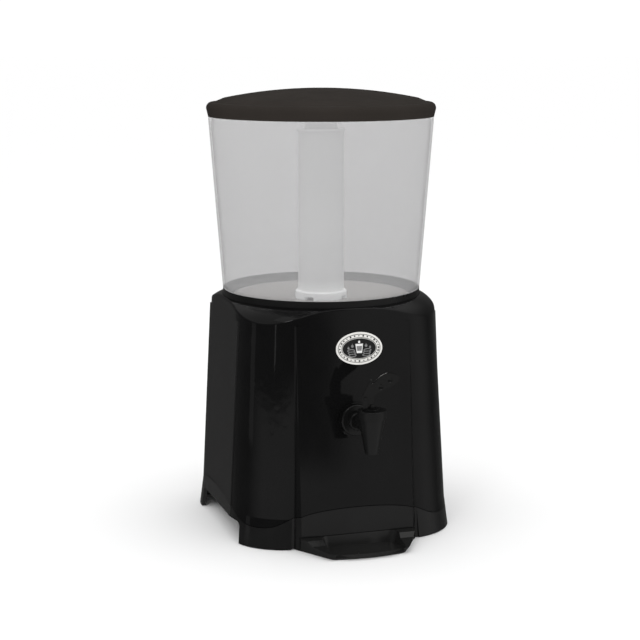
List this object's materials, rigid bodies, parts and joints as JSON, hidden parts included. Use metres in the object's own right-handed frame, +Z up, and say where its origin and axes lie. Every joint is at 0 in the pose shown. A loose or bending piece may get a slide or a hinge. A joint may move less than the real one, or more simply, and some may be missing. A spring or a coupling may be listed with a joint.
{
  "type": "counter-top cold drink dispenser",
  "caption": "Counter-top cold drink dispenser: a tapered clear tank with a domed lid and ice core on a black base with a self-closing tap and a drip tray.",
  "frame": {"origin": "on the tank's axis at counter level", "axes": "+Z up, the tap and drip tray face -Y, +X is the dispenser's left seen from behind the counter and the viewer's right seen from the front"},
  "size_m": [0.3462, 0.4398, 0.661],
  "materials": {
    "black_cover": "glossy",
    "black_skirt": "glossy",
    "black_collar": "glossy",
    "black_tap": "satin",
    "grey_fittings": "satin",
    "dark_rubber": "matte",
    "silicone": "satin",
    "steel": "satin",
    "valve_rubber": "matte",
    "badge_print": "satin",
    "tank_clear": "clear, lightly smoked plastic",
    "lid_brown": "satin",
    "core_white": "satin"
  },
  "bodies": {
    "base": {"cover_shell": "black_cover", "base_skirt": "black_skirt", "rubber_feet": "dark_rubber", "cover_screws": "steel", "support_deck": "grey_fittings", "deck_screws": "steel", "collar_ring": "black_collar", "seat_ring": "dark_rubber", "outlet_socket": "grey_fittings", "socket_nut": "grey_fittings", "feed_hose": "silicone", "hose_clamps": "steel", "tap_seal": "dark_rubber", "tap_escutcheon": "black_tap", "tap_body": "black_tap", "bonnet_cap": "black_tap", "stem_seal": "dark_rubber", "bracket_clip": "black_tap", "tap_back_washer": "dark_rubber", "shank_nut": "grey_fittings", "valve_spring": "steel", "badge": "badge_print"},
    "tank": {"tank": "tank_clear", "tank_outlet": "grey_fittings", "spigot_o_rings": "dark_rubber", "outlet_washer": "dark_rubber", "outlet_nut": "grey_fittings", "outlet_strainer": "grey_fittings"},
    "ice_core": {"ice_core": "core_white"},
    "core_cap": {"core_cap": "core_white", "core_o_ring": "dark_rubber"},
    "lid": {"lid": "lid_brown"},
    "drip_tray": {"drip_tray": "black_skirt"},
    "lever_bracket": {"lever_bracket": "black_tap", "handle_pin": "black_tap"},
    "handle": {"handle": "black_tap"},
    "valve_stem": {"valve_stem": "black_tap", "valve_plug": "valve_rubber"}
  },
  "joints": [
    {"name": "tank_lift", "type": "slide", "parent": "base", "child": "tank", "axis": [0, 0, 1], "range_m": [0, 0.065]},
    {"name": "core_lift", "type": "slide", "parent": "tank", "child": "ice_core", "axis": [0, 0, 1], "range_m": [0, 0.025]},
    {"name": "cap_lift", "type": "slide", "parent": "ice_core", "child": "core_cap", "axis": [0, 0, 1], "range_m": [0, 0.014]},
    {"name": "lid_lift", "type": "slide", "parent": "tank", "child": "lid", "axis": [0, 0, 1], "range_m": [0, 0.05]},
    {"name": "tray_slide", "type": "slide", "parent": "base", "child": "drip_tray", "axis": [0, -1, 0], "range_m": [0, 0.1]},
    {"name": "handle_swivel", "type": "hinge", "parent": "base", "child": "lever_bracket", "pos_m": [0, -0.239, 0.219], "axis": [0, 0, 1], "range_deg": [-120, 40]},
    {"name": "handle_tilt", "type": "hinge", "parent": "lever_bracket", "child": "handle", "pos_m": [-0.00883, -0.23578, 0.2345], "axis": [0.342, 0.9397, 0], "range_deg": [0, 24], "stiffness_Nm_per_rad": 0.5, "springref_deg": -11.46},
    {"name": "stem_slide", "type": "slide", "parent": "base", "child": "valve_stem", "axis": [0, 0, -1], "range_m": [0, 0.004], "deforming": ["valve_spring"]}
  ],
  "couplings": [
    {"joint": "stem_slide", "follows": "handle_tilt", "m_per_rad": 0.0095}
  ]
}
